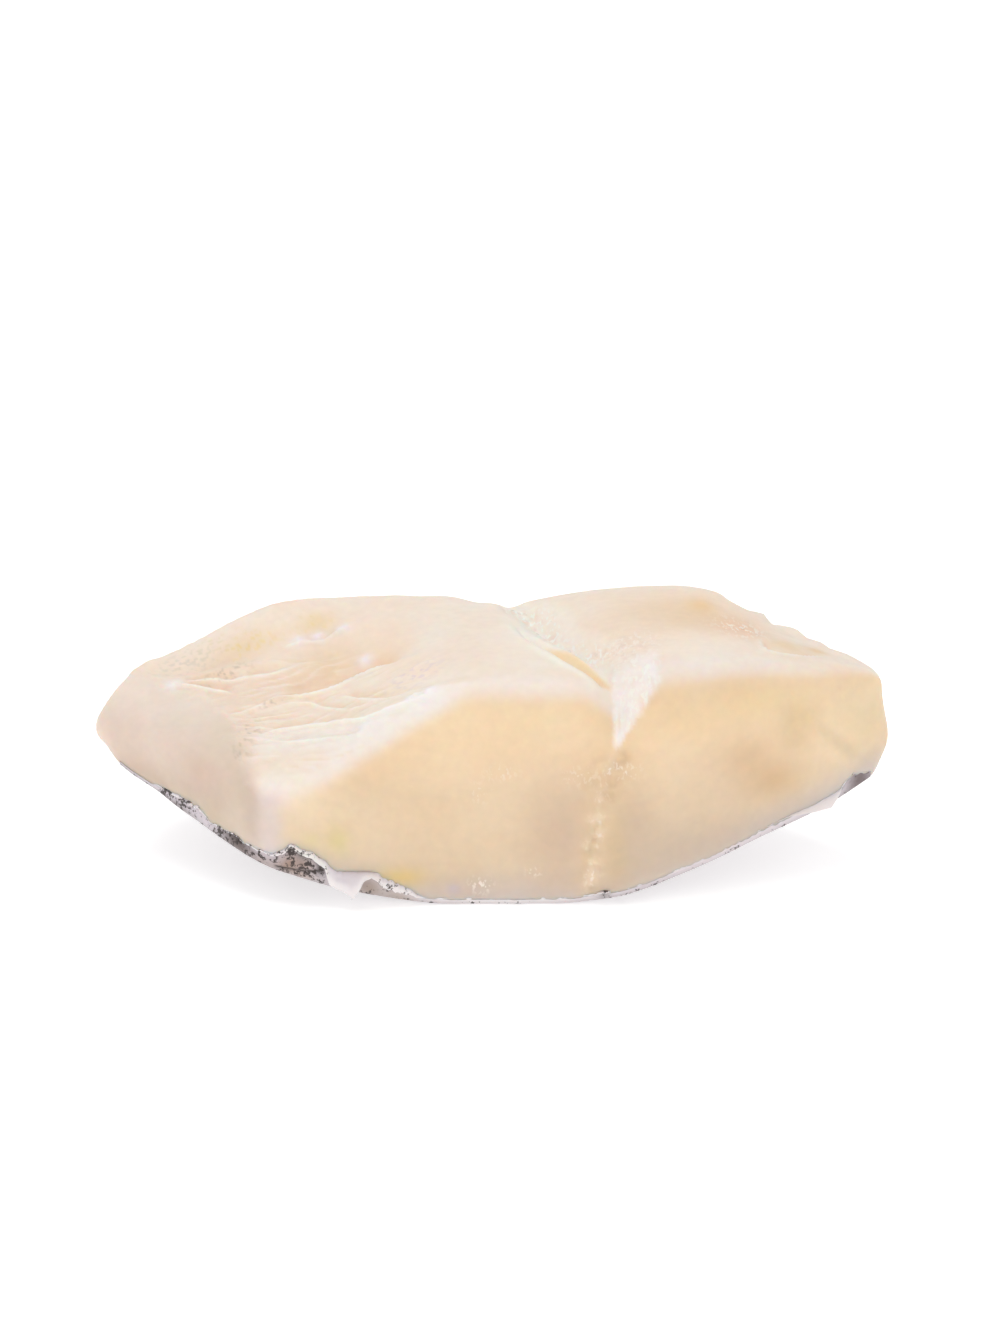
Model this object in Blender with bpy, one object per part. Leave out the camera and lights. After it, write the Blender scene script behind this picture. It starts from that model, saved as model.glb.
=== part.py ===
"""A portion of salted cod loin, about 140 mm wide: a block of flesh on its own skin.

The block is cut across the fish. X runs across the fillet, Y from the front cut to the back cut, and +Z up.
The skin lies underneath and is curved like the fish's flank, so both ends lift off the table.
The origin is on the table, under the middle of the portion.
"""

import math

import bmesh
import bpy

MM = 0.001

HALF_WIDTH = 70 * MM

# Flank curve of the skin's underside: flat in the middle, rising towards both ends
FLAT_CENTRE_X = 2 * MM
FLANK_LIFT = 20.5 * MM
FLANK_POWER = 1.95
FLAT_SINK = 0.55 * MM

# Skin
SKIN_THICKNESS = 0.9 * MM
SKIN_GAP = 0.3 * MM
SKIN_HALF_WIDTH = 66.5 * MM
SKIN_MARGIN = 0.7 * MM

# Frill: the loosened front edge of the skin, under the left half
FRILL_CENTRE_X = -27 * MM
FRILL_HALF_WIDTH = 9 * MM
FRILL_REACH = 2.6 * MM
FRILL_DROOP = 0.8 * MM
RUFFLE_HEIGHT = 0.35 * MM
RUFFLE_PITCH = 7 * MM
RUFFLE_END_X = -8 * MM
RUFFLE_FADE = 10 * MM

# Plan of the block: where the cuts start and bend, their slopes, and how widely a corner is rounded
FRONT_START_Y = 3.15 * MM
FRONT_LEFT_CORNER_X = -40 * MM
FRONT_RIGHT_BEND_X = 25 * MM
FRONT_LEFT_SLOPE = -0.96
FRONT_RIGHT_SLOPE = 0.45
BACK_START_Y = 7.15 * MM
BACK_LEFT_CORNER_X = -63 * MM
BACK_RIGHT_CORNER_X = 35 * MM
BACK_LEFT_SLOPE = 2.6
BACK_SLOPE = 0.04
BACK_RIGHT_SLOPE = -0.86
CORNER_ROUNDING = 5 * MM

# Heights of the top edges above the table, from the low left end to the belly side on the right
LEFT_FRONT_HEIGHT = 26.5 * MM
LEFT_CORNER_HEIGHT = 22 * MM
LEFT_BACK_HEIGHT = 30 * MM
LOIN_HEIGHT = 41.5 * MM
BELLY_RISE = 2 * MM
BELLY_DROP_FRONT = 5 * MM
BELLY_DROP_BACK = 8 * MM

# Where each of those changes starts, and how far it runs to the right
NOSE_RUN = (-70 * MM, 28 * MM)
FRONT_RUN = (-42 * MM, 42 * MM)
BACK_RUN = (-68 * MM, 32 * MM)
BELLY_RUN = (5 * MM, 20 * MM)
DROP_RUN = (32 * MM, 38 * MM)

# Groove where the backbone lay, slanting across the top from the front cut to the back cut
GROOVE_FRONT_X = 22.5 * MM
GROOVE_BACK_X = 1 * MM
GROOVE_WIDTH = 3.2 * MM
GROOVE_DEPTH_FRONT = 5.5 * MM
GROOVE_DEPTH_BACK = 3.5 * MM
SEPTUM_RECESS = 1.2 * MM
GROOVE_REACH = 60 * MM

# Edges of the flakes that lie open on the left slope: start, end, and height of the edge
FLAKES = (
    ((-43 * MM, -12 * MM), (-8 * MM, -21.5 * MM), 1.3 * MM),
    ((-46 * MM, -3.5 * MM), (-17 * MM, -4.5 * MM), 1.4 * MM),
    ((-58 * MM, 10 * MM), (-33 * MM, 4 * MM), 1.2 * MM),
    ((-38 * MM, 8.5 * MM), (-24 * MM, 13 * MM), 0.9 * MM),
)
FLAKE_RISE_LENGTH = 3.5 * MM
FLAKE_DROP_LENGTH = 2.4 * MM
FLAKE_HOLLOW_LENGTH = 4 * MM
FLAKE_FADE = 7 * MM

# How full and how rounded the block is
FRONT_BULGE = 1.6 * MM
END_POWER = 10
END_CENTRE = -0.6
TOP_POWER = 7
BOTTOM_POWER = 20

# Mesh density
BODY_RINGS = 60
END_RING_SCALES = (0.82, 0.62, 0.36)
TOP_SEGMENTS = 30
WALL_SEGMENTS = 9
BOTTOM_SEGMENTS = 8
SKIN_STATIONS = 58
SKIN_ROWS = 6

FLESH_COLOUR = (0.86, 0.72, 0.54, 1)
SKIN_COLOUR = (0.62, 0.61, 0.62, 1)


def lerp(a, b, t):
    return a + (b - a) * t


def smooth(t):
    t = min(1.0, max(0.0, t))
    return t * t * (3 - 2 * t)


def along(run, x):
    """0 before a run, 1 after it, and smooth between."""
    start, length = run
    return smooth((x - start) / length)


def ramp(x):
    """Zero before 0 and x after it, with the bend rounded."""
    return (x + (x * x + CORNER_ROUNDING**2) ** 0.5) / 2


def end_scale(share):
    """How much a section shrinks at a share of the way from the middle to an end."""
    return (1 - min(1.0, abs(share)) ** END_POWER) ** (1 / END_POWER)


def front_y(x):
    """Front cut in plan: the left end face, the straight cut, and the belly side that falls back."""
    left = FRONT_LEFT_SLOPE * (x + HALF_WIDTH)
    straight = -FRONT_LEFT_SLOPE * ramp(x - FRONT_LEFT_CORNER_X)
    return FRONT_START_Y + left + straight + FRONT_RIGHT_SLOPE * ramp(x - FRONT_RIGHT_BEND_X)


def back_y(x):
    """Back cut in plan: a blunt left end, the long cut, and the belly side that comes forward."""
    left = BACK_LEFT_SLOPE * (x + HALF_WIDTH)
    straight = (BACK_SLOPE - BACK_LEFT_SLOPE) * ramp(x - BACK_LEFT_CORNER_X)
    return BACK_START_Y + left + straight + (BACK_RIGHT_SLOPE - BACK_SLOPE) * ramp(x - BACK_RIGHT_CORNER_X)


def skin_under_z(x):
    """Underside of the skin."""
    from_flat = x - FLAT_CENTRE_X
    reach = abs(from_flat) / (HALF_WIDTH - math.copysign(FLAT_CENTRE_X, from_flat))
    return max(0.0, (FLANK_LIFT + FLAT_SINK) * reach**FLANK_POWER - FLAT_SINK)


def groove_x(depth):
    """Where the groove lies, at a share of the way from the front cut to the back cut."""
    return lerp(GROOVE_FRONT_X, GROOVE_BACK_X, depth)


def flake_relief(x, y):
    """Height that the open flakes add: a slow rise to each edge, then a drop into a hollow behind it."""
    total = 0.0
    for (x0, y0), (x1, y1), height in FLAKES:
        along_edge = (x - x0) / (x1 - x0)
        behind = y - lerp(y0, y1, along_edge)
        if behind < 0:
            profile = math.exp(behind / FLAKE_RISE_LENGTH)
        elif behind < FLAKE_DROP_LENGTH:
            profile = 1 - 2 * smooth(behind / FLAKE_DROP_LENGTH)
        else:
            profile = -math.exp((FLAKE_DROP_LENGTH - behind) / FLAKE_HOLLOW_LENGTH)
        fade = smooth((x - x0 + FLAKE_FADE) / FLAKE_FADE) * smooth((x1 + FLAKE_FADE - x) / FLAKE_FADE)
        total += height / 2 * profile * fade
    return total


def flesh_top_z(x, y, depth):
    """Top of the flesh, at a share of the way from the front cut to the back cut."""
    foot = lerp(LEFT_FRONT_HEIGHT, LEFT_CORNER_HEIGHT, along(NOSE_RUN, x))
    front = lerp(foot, LOIN_HEIGHT, along(FRONT_RUN, x))
    back = lerp(LEFT_BACK_HEIGHT, LOIN_HEIGHT, along(BACK_RUN, x))
    rise = BELLY_RISE * along(BELLY_RUN, x)
    drop = lerp(BELLY_DROP_FRONT, BELLY_DROP_BACK, depth) * along(DROP_RUN, x)
    across = (x - groove_x(depth)) / GROOVE_WIDTH
    groove = lerp(GROOVE_DEPTH_FRONT, GROOVE_DEPTH_BACK, depth) / (1 + across**2)
    return lerp(front, back, depth) + rise - drop - groove + flake_relief(x, y)


def flesh_point(station, scale, v, w):
    """A point of a ring. v runs from the front cut to the back cut and w from skin to top, both -1 to 1."""
    w = lerp(END_CENTRE, w, scale)
    depth = (v * scale + 1) / 2
    height = (w + 1) / 2
    # Rings slant with the groove, so that it runs along one of them
    middle_x = groove_x(0.5)
    slant = smooth(1 - abs(station - middle_x) / GROOVE_REACH)
    x = station + (groove_x(depth) - middle_x) * slant
    across = (x - groove_x(0)) / GROOVE_WIDTH
    front = front_y(x) - FRONT_BULGE * (1 - w * w) + SEPTUM_RECESS * height / (1 + across**2)
    y = lerp(front, back_y(x), depth)
    under = skin_under_z(x) + SKIN_THICKNESS + SKIN_GAP
    return x, y, lerp(under, flesh_top_z(x, y, depth), height)


def ring_outline():
    """Points round a square, pulled in at its corners: the skin side, the back cut, the top and the front cut."""
    square = [(lerp(-1, 1, i / BOTTOM_SEGMENTS), -1) for i in range(BOTTOM_SEGMENTS)]
    square += [(1, lerp(-1, 1, i / WALL_SEGMENTS)) for i in range(WALL_SEGMENTS)]
    square += [(lerp(1, -1, i / TOP_SEGMENTS), 1) for i in range(TOP_SEGMENTS)]
    square += [(-1, lerp(1, -1, i / WALL_SEGMENTS)) for i in range(WALL_SEGMENTS)]
    outline = []
    for v, w in square:
        power = TOP_POWER if w >= 0 else BOTTOM_POWER
        size = (abs(v) ** power + abs(w) ** power) ** (1 / power)
        outline.append((v / size, w / size))
    return outline


def flesh_stations():
    """(x, ring scale) from the left end to the right end. The rings shrink over the last few millimetres."""
    most = 0.95
    shares = [lerp(-most, most, i / (BODY_RINGS - 1)) for i in range(BODY_RINGS)]
    body = [(share * HALF_WIDTH, end_scale(share)) for share in shares]
    right = [(HALF_WIDTH * end_scale(s), s) for s in END_RING_SCALES]
    left = [(-x, s) for x, s in reversed(right)]
    return left + body + right


def loft(bm, rings):
    """Joins closed rings of equal length with quads, and returns them as vertices."""
    loops = [[bm.verts.new(point) for point in ring] for ring in rings]
    for a, b in zip(loops, loops[1:]):
        for i in range(len(a)):
            j = (i + 1) % len(a)
            bm.faces.new((a[i], b[i], b[j], a[j]))
    return loops


def close_to_point(bm, loop, point):
    tip = bm.verts.new(point)
    for i, vert in enumerate(loop):
        bm.faces.new((vert, loop[(i + 1) % len(loop)], tip))


def skin_section(x):
    """Closed section of the skin at x: its underside from front to back, then its upper side back again."""
    scale = end_scale(x / HALF_WIDTH)
    front = front_y(x) - SKIN_MARGIN
    back = back_y(x) + SKIN_MARGIN
    middle = (front + back) / 2
    under = skin_under_z(x)
    line = [(x, lerp(middle, lerp(front, back, i / SKIN_ROWS), scale), under) for i in range(SKIN_ROWS + 1)]
    frill = smooth(1 - abs(x - FRILL_CENTRE_X) / FRILL_HALF_WIDTH)
    ruffle = RUFFLE_HEIGHT * math.sin(2 * math.pi * x / RUFFLE_PITCH) * smooth((RUFFLE_END_X - x) / RUFFLE_FADE)
    rim_y = line[0][1] - SKIN_MARGIN / 2 - FRILL_REACH * frill
    line.insert(0, (x, rim_y, max(0.0, under + ruffle - FRILL_DROOP * frill)))
    return line + [(x, y, z + SKIN_THICKNESS) for x, y, z in reversed(line)]


def make_material(name, colour, roughness):
    material = bpy.data.materials.new(name)
    material.use_nodes = True
    shader = material.node_tree.nodes["Principled BSDF"]
    shader.inputs["Base Color"].default_value = colour
    shader.inputs["Roughness"].default_value = roughness
    shader.inputs["Metallic"].default_value = 0.0
    return material


def add_object(name, bm, material):
    bmesh.ops.recalc_face_normals(bm, faces=bm.faces)
    mesh = bpy.data.meshes.new(name)
    bm.to_mesh(mesh)
    bm.free()
    mesh.materials.append(material)
    mesh.shade_smooth()
    bpy.context.scene.collection.objects.link(bpy.data.objects.new(name, mesh))


def make_flesh():
    outline = ring_outline()
    bm = bmesh.new()
    loops = loft(bm, [[flesh_point(x, scale, v, w) for v, w in outline] for x, scale in flesh_stations()])
    close_to_point(bm, loops[0], flesh_point(-HALF_WIDTH, 0, 0, 0))
    close_to_point(bm, loops[-1], flesh_point(HALF_WIDTH, 0, 0, 0))
    add_object("flesh", bm, make_material("flesh", FLESH_COLOUR, 0.35))


def make_skin():
    stations = [lerp(-SKIN_HALF_WIDTH, SKIN_HALF_WIDTH, i / SKIN_STATIONS) for i in range(SKIN_STATIONS + 1)]
    bm = bmesh.new()
    loops = loft(bm, [skin_section(x) for x in stations])
    for loop in (loops[0], loops[-1]):
        for i in range(len(loop) // 2 - 1):
            bm.faces.new((loop[i], loop[i + 1], loop[-2 - i], loop[-1 - i]))
    add_object("skin", bm, make_material("skin", SKIN_COLOUR, 0.3))


for old in list(bpy.data.objects):
    bpy.data.objects.remove(old)
make_flesh()
make_skin()
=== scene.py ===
"""Looks of the salted cod loin: moist flesh with open flakes on a thin silver skin, on a plain white table.

Lengths are millimetres until a mesh is written. Places on the object are in the frame's axes:
X across the fillet, Y from the front cut to the back cut, Z up.
"""

import math
from collections import namedtuple

import bmesh
import bpy
import numpy as np
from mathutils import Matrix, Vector, noise
from mathutils.bvhtree import BVHTree


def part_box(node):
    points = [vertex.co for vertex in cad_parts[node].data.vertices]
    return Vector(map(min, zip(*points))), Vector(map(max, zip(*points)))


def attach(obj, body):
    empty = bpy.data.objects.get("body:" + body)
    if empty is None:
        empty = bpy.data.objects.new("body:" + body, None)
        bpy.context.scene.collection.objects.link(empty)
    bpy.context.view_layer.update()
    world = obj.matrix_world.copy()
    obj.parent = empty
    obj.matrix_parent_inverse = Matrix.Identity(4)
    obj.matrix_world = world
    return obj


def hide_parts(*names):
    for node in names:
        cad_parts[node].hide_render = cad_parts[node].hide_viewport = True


MM = 0.001

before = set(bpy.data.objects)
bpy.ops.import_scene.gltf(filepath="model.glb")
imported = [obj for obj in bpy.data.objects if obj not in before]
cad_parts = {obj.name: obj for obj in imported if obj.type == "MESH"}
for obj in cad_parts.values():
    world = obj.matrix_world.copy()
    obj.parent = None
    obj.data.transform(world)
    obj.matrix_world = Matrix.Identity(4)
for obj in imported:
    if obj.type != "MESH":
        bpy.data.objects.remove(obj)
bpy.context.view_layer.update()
flesh_low, flesh_high = (np.array(corner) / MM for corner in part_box("flesh"))
skin_low, skin_high = (np.array(corner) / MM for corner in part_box("skin"))

# ---------------- numbers


def smooth(t):
    t = np.clip(t, 0.0, 1.0)
    return t * t * (3 - 2 * t)


def between(value, low, high, fade):
    """1 between low and high, falling to 0 over the fade outside them."""
    return smooth((value - low) / fade + 1) * smooth((high - value) / fade + 1)


def bump_at(distance, width):
    return np.exp(-((distance / width) ** 2))


def patch_at(u, v, place):
    """A soft oval: place holds its middle and its half widths."""
    middle_u, middle_v, half_u, half_v = place
    return np.exp(-(((u - middle_u) / half_u) ** 2) - ((v - middle_v) / half_v) ** 2)


def noise_at(points, wavelength, octaves=1, seed=0.0, stretch=(1, 1, 1)):
    """Noise from about -1 to 1 at each point, with one wavelength per axis."""
    scaled = points / (np.array(stretch, float) * wavelength) + seed
    if octaves == 1:
        return np.array([noise.noise(Vector(p)) for p in scaled]) * 1.6
    return np.array([noise.fractal(Vector(p), 1.0, 2.0, octaves) for p in scaled]) * 1.4


def curve_through(points, steps=8):
    """A smooth curve through the points, as a finer row of points."""
    points = np.array(points, float)
    padded = np.vstack([2 * points[0] - points[1], points, 2 * points[-1] - points[-2]])
    row = []
    for a, b, c, d in zip(padded, padded[1:], padded[2:], padded[3:]):
        for t in np.arange(steps) / steps:
            square, cube = 2 * a - 5 * b + 4 * c - d, 3 * b - a - 3 * c + d
            row.append(0.5 * (2 * b + (c - a) * t + square * t**2 + cube * t**3))
    row.append(points[-1])
    return np.array(row)


def beside_curve(flat, curve):
    """Signed distance of flat points from the curve, positive on its left, and the share of its length."""
    lengths = np.r_[0, np.cumsum(np.hypot(*np.diff(curve, axis=0).T))]
    best = np.full(len(flat), np.inf)
    side = np.zeros(len(flat))
    share = np.zeros(len(flat))
    for i, (a, b) in enumerate(zip(curve, curve[1:])):
        step = b - a
        t = np.clip((flat - a) @ step / (step @ step), 0, 1)
        off = flat - a - t[:, None] * step
        distance = np.hypot(off[:, 0], off[:, 1])
        nearer = distance < best
        best[nearer] = distance[nearer]
        side[nearer] = np.sign(step[0] * off[:, 1] - step[1] * off[:, 0])[nearer]
        share[nearer] = ((lengths[i] + t * (lengths[i + 1] - lengths[i])) / lengths[-1])[nearer]
    return best * side, share


def linear(tone):
    """Linear colour of an 8-bit screen colour."""
    return tuple(((c / 255 + 0.055) / 1.055) ** 2.4 for c in tone)


def all_over(name, count):
    return np.tile(linear(TONES[name]), (count, 1))


def mixed(base, tone, amount):
    """Rows of base moved towards the tone by the amount at each row."""
    return base + (np.array(linear(tone)) - base) * np.clip(amount, 0, 1)[:, None]


def layered(base, **amounts):
    """Rows of base moved towards each named tone in turn."""
    for name, amount in amounts.items():
        base = mixed(base, TONES[name], amount)
    return base


# ---------------- meshes

MERGE_DISTANCE = 0.002
CAGE_TURN = math.radians(60)  # two CAD triangles that turn and skew less than this make one quad
CAGE_LEVELS = 2
# Where rays towards the object start
RAY_BELOW, RAY_ABOVE, RAY_BESIDE = -10, 90, 90
# Rings along X, closer where the surface is more broken: where each zone starts, and its number of rings
RING_ZONES = ((-62, 150), (-4, 64), (24, 50))
CAP_START = 62
RINGS_CAP = 18
SEGMENTS = (36, 42, 172, 60)  # on the skin side, the back cut, the top and the front cut
SOFTEN_ALL, SOFTEN_ENDS = 3, 4
EDGE_PASSES = 6
UNDER_PLACES = 141  # places along x where the height of the underside is taken


def placed(name, data):
    """A new object in the scene."""
    made = bpy.data.objects.new(name, data)
    bpy.context.scene.collection.objects.link(made)
    return made


def tree_of(mesh):
    bm = bmesh.new()
    bm.from_mesh(mesh)
    tree = BVHTree.FromBMesh(bm)
    bm.free()
    return tree


def smooth_copy(node):
    """Search tree of the CAD solid after it is turned back into quads and subdivided twice."""
    bm = bmesh.new()
    bm.from_mesh(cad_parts[node].data)
    bmesh.ops.remove_doubles(bm, verts=bm.verts, dist=MERGE_DISTANCE * MM)
    turns = {"angle_face_threshold": CAGE_TURN, "angle_shape_threshold": CAGE_TURN}
    bmesh.ops.join_triangles(bm, faces=bm.faces, **turns)
    mesh = bpy.data.meshes.new(node + "_cage")
    bm.to_mesh(mesh)
    cage = placed(node + "_cage", mesh)
    cage.modifiers.new("finer", "SUBSURF").levels = CAGE_LEVELS
    bm.clear()
    bm.from_object(cage, bpy.context.evaluated_depsgraph_get())
    tree = BVHTree.FromBMesh(bm)
    bm.free()
    bpy.data.objects.remove(cage)
    return tree


def hit(tree, start, direction):
    """First point on the tree's surface along a ray. It is NaN where the ray misses."""
    found = tree.ray_cast(Vector(start) * MM, Vector(direction))[0]
    return np.full(3, np.nan) if found is None else np.array(found) / MM


def filled(values):
    """Values with each NaN filled from its neighbours."""
    values = np.array(values)
    known = ~np.isnan(values)
    places = np.arange(len(values))
    return np.interp(places, places[known], values[known])


def under_heights(xs):
    """Underside of the CAD skin at each x."""
    tree = tree_of(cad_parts["skin"].data)
    return filled([hit(tree, (x, 0, RAY_BELOW), (0, 0, 1))[2] for x in xs])


def square_outline():
    """Points round a square, as many on each side as SEGMENTS says."""
    corners = ((-1, -1), (1, -1), (1, 1), (-1, 1), (-1, -1))
    sides = zip(corners, corners[1:], SEGMENTS)
    return np.vstack([np.linspace(a, b, n, endpoint=False) for a, b, n in sides])


def wrapped_grid(tree):
    """Rings of points on the flesh, from the left tip to the right tip, with as many points in each."""
    ends = [start for start, _ in RING_ZONES[1:]] + [CAP_START]
    zones = [np.linspace(a, b, count, endpoint=False) for (a, count), b in zip(RING_ZONES, ends)]
    xs = np.concatenate(zones + [[CAP_START]])
    centres = []
    sizes = []
    for x in xs:
        low, high = hit(tree, (x, 0, RAY_BELOW), (0, 0, 1)), hit(tree, (x, 0, RAY_ABOVE), (0, 0, -1))
        middle = (low[2] + high[2]) / 2
        front = hit(tree, (x, -RAY_BESIDE, middle), (0, 1, 0))
        back = hit(tree, (x, RAY_BESIDE, middle), (0, -1, 0))
        centres.append((x, (front[1] + back[1]) / 2, middle))
        sizes.append(((back[1] - front[1]) / 2, (high[2] - low[2]) / 2))
    outline = square_outline()
    lean = np.arange(1, RINGS_CAP + 1) / RINGS_CAP * math.pi / 2
    rings = [(centres[0], sizes[0], -a) for a in lean[::-1]]
    rings += [(c, s, 0.0) for c, s in zip(centres, sizes)]
    rings += [(centres[-1], sizes[-1], a) for a in lean]
    grid = []
    for centre, (half_y, half_z), angle in rings:
        ring = []
        for v, w in outline:
            flat = Vector((0, v * half_y, w * half_z)).normalized()
            direction = flat * math.cos(angle) + Vector((math.sin(angle), 0, 0))
            ring.append(hit(tree, centre, direction))
        grid.append(ring)
    return np.array(grid)


def soften(grid, passes, weight=1.0):
    """Averages each point with its neighbours on the rings, as often as passes says."""
    for _ in range(passes):
        round_ring = (np.roll(grid, 1, axis=1) + 2 * grid + np.roll(grid, -1, axis=1)) / 4
        inner = round_ring.copy()
        inner[1:-1] = (round_ring[:-2] + 2 * round_ring[1:-1] + round_ring[2:]) / 4
        grid = grid + (inner - grid) * weight
    return grid


def grid_normals(grid):
    over = np.gradient(grid, axis=0)
    around = np.roll(grid, -1, axis=1) - np.roll(grid, 1, axis=1)
    normals = np.cross(around, over)
    length = np.linalg.norm(normals, axis=2, keepdims=True)
    normals = np.divide(normals, length, out=np.zeros_like(normals), where=length > 1e-9)
    middle = len(grid) // 2
    outward = ((grid[middle] - grid[middle].mean(axis=0)) * normals[middle]).sum()
    normals *= np.sign(outward)
    normals[0] = (-1, 0, 0)
    normals[-1] = (1, 0, 0)
    return normals


def mesh_from(name, vertices, faces):
    mesh = bpy.data.meshes.new(name)
    mesh.from_pydata((vertices * MM).tolist(), [], faces)
    bm = bmesh.new()
    bm.from_mesh(mesh)
    bmesh.ops.recalc_face_normals(bm, faces=bm.faces)
    bm.to_mesh(mesh)
    bm.free()
    mesh.shade_smooth()
    return mesh


def closed_loft(name, grid):
    """Rings joined by quads. The first and the last ring each close to one point."""
    rings, count = grid.shape[:2]
    inner = grid[1:-1].reshape(-1, 3)
    vertices = np.vstack([inner, grid[0].mean(axis=0), grid[-1].mean(axis=0)])
    index = np.arange(len(inner)).reshape(rings - 2, count)
    following = np.roll(index, -1, axis=1)
    quads = np.stack([index[:-1], index[1:], following[1:], following[:-1]], axis=-1).reshape(-1, 4)
    faces = quads.tolist()
    for ring, tip in ((0, len(inner)), (-1, len(inner) + 1)):
        faces += [(int(a), int(b), tip) for a, b in zip(index[ring], following[ring])]
    return mesh_from(name, vertices, faces)


def per_vertex(values):
    """Values of a grid in the order of closed_loft's vertices."""
    inner = values[1:-1].reshape((-1,) + values.shape[2:])
    return np.concatenate([inner, values[:1, 0], values[-1:, 0]])


def set_colour(mesh, name, colours):
    layer = mesh.color_attributes.new(name, "FLOAT_COLOR", "POINT")
    layer.data.foreach_set("color", np.c_[np.clip(colours, 0, 1), np.ones(len(colours))].ravel())


def set_value(mesh, name, values):
    mesh.attributes.new(name, "FLOAT", "POINT").data.foreach_set("value", np.clip(values, 0, 1))


# ---------------- flesh: shape

# A flake on the top: the height of its lip, the depth of its hollow, how far the hollow runs back,
# how tan it is (the flesh's own tan deepened as painted shade in the hollow), and its edge from above
Flake = namedtuple("Flake", "lip hollow reach tan edge")
FLAKES = (
    Flake(0.55, 1.5, 4.2, 1.0, ((-38.5, -2.6), (-34, -4.3), (-30.8, -4.9), (-27.8, -4.7), (-25.6, -3.6),
        (-23.2, -2.3), (-20.5, -2.6), (-17, -5))),
    Flake(0.4, 0.4, 1.3, 0.4, ((-57, 8.4), (-51, 6.4), (-46.9, 4.6), (-43, 3.7), (-39.6, 3.1),
        (-36.6, 3.5), (-33.4, 4.6))),
    Flake(0.5, 0.7, 0.8, 0.3, ((-57, 7.8), (-52.4, 5.2), (-49.6, 3.3), (-46, 1.4))),
    Flake(0.3, 0.3, 1.2, 0.3, ((-47, -4.7), (-42.7, -4.9), (-40, -4.1), (-37.4, -2.4))),
    Flake(0.28, 0.3, 1.0, 0.3, ((-37.5, -5.4), (-32.5, -6.8), (-30, -9), (-24.9, -12.4), (-21, -13.4))),
    Flake(0.28, 0.4, 1.4, 0.6, ((-27, -7.4), (-23.2, -11), (-19.8, -14), (-17.5, -15.7), (-14.4, -17.2))),
    Flake(0.6, 0.7, 1.8, 0.4, ((-42.5, -12.2), (-38.4, -11.8), (-34, -12.9), (-28.2, -15), (-24.8, -17.3),
        (-21.4, -19.2), (-16, -21), (-9, -22.3))),
    Flake(0.3, 0.25, 1.0, 0.1, ((-41.5, -13.4), (-36.5, -15.6), (-31.4, -17.8), (-26.3, -20),
        (-21.3, -22.2))),
    Flake(0.4, 0.4, 1.5, 0.3, ((-38, 10), (-34.4, 10.4), (-31, 9.6), (-28.6, 10.9), (-25.5, 11.8))),
    Flake(0.2, 0.1, 0.8, 0.0, ((-14.6, -9.8), (-12.2, -8.8), (-10, -9.4))),
    Flake(0.35, 0.5, 2.0, 0.7, ((46.5, -2.5), (48.3, -8.3), (53.5, -8.2), (58.5, -3.5))),
)
# Places on the front cut with painted glints, white highlights of light on the brine: x, z and half widths,
# then how strong
GLINTS = (
    ((-2.3, 3.8, 1.8, 1.3), 0.9), ((7, 6.4, 1.3, 0.7), 0.8), ((1.4, 25, 2.6, 1.2), 0.45),
    ((-2.2, 21.5, 1.6, 1.6), 0.45), ((15, 24.5, 3, 1.6), 0.4), ((22.5, 25, 2.5, 1.4), 0.6),
)
# Crevice beside the backbone groove, from above, and the middle of the shelf and the strip on its right
CREVICE = ((2.6, 12), (5.4, 0), (9.6, -7.2), (13.8, -13.8), (17.4, -18.6), (19.8, -21.6))
SHELF_X = 14
STRIP_X = 14.5
# Where the smooth nose ends, from above, and where it and the pale upright band beside it, a painted
# highlight on the corner, lie along x
NOSE_EDGE = (
    *((-82, 28), (-66.5, 14.8), (-59.7, 9), (-55, 5), (-50, 0.5)),
    *((-46.5, -6), (-44.3, -12), (-42.8, -19), (-41.5, -25)),
)
NOSE_X = -38
CORNER_X = -38.8
# Small white lumps: x, y, radius, height
LUMPS = (
    (-22.9, 2.3, 1.5, 0.55), (-35, 11, 1.5, 0.4), (-31.6, 11.2, 1.3, 0.4),
    (-27, 12, 1.3, 0.4), (-57.3, 7.6, 1.6, 0.3), (-22, -20.8, 1.7, 0.45),
    (-18.5, -20.9, 1.3, 0.3), (-14.2, -20.6, 1.5, 0.45), (-11, -21.4, 1.4, 0.35),
)
# Folds at the thin right end, on the front: x, z, length
FOLDS = ((57.5, 25.5, 4), (61, 22.5, 3.5))
# Torn back edge of the belly side, as height along x
TORN_X = (36, 40.2, 41.4, 42.7, 44.2, 46.6, 48.6, 49.5, 51, 53.3, 54.7, 55.6, 58.4, 59.4, 62.5, 67)
TORN_Z = (0, 0.3, 0.1, -1.6, -1.3, -0.2, 0.4, -0.9, -0.2, 0.6, 0.7, 0.1, 0.6, 0.2, 0.8, 0.5)
# The CAD's rounded foot, between these heights, is stretched down to where the flesh rests, and stands out
FOOT_LOW, FOOT_HIGH = 2.8, 7
FLESH_REST = 0.45
FOOT_OUT = 1.1
# Changes to the outline: both ends, the saddle behind the groove, the big lobe and the belly side
END_DRAWN_IN, END_ROUNDED, TIP_DRAWN_IN = 1.1, 0.6, 1.2
SADDLE_RISE, SADDLE_DIP, TIP_RISE, CROWN_RISE, SHOULDER_RISE = 0.8, 0.9, 1.8, 1.9, 0.7
# Middle of the seam in the front cut, as x along z
SEAM_Z = (0, 9.5, 19.6, 27)
SEAM_X = (17.2, 16.8, 18.2, 20.4)
SEAM_WIDTH = 1.3
# White notch above the seam: its left side, its foot, and its right side as x along z
NOTCH_LEFT, NOTCH_FOOT = 20.1, 27.5
NOTCH_Z = (28.5, 30, 33, 36.8, 40)
NOTCH_X = (20.8, 22.0, 24.0, 26.6, 28.5)
# Torn wet places on the top: x, y and half widths, then how wet
TORN_PLACES = (((43.6, 0.8, 3.8, 4.4), 0.9), ((24, -9, 5, 5), 0.5))
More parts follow.
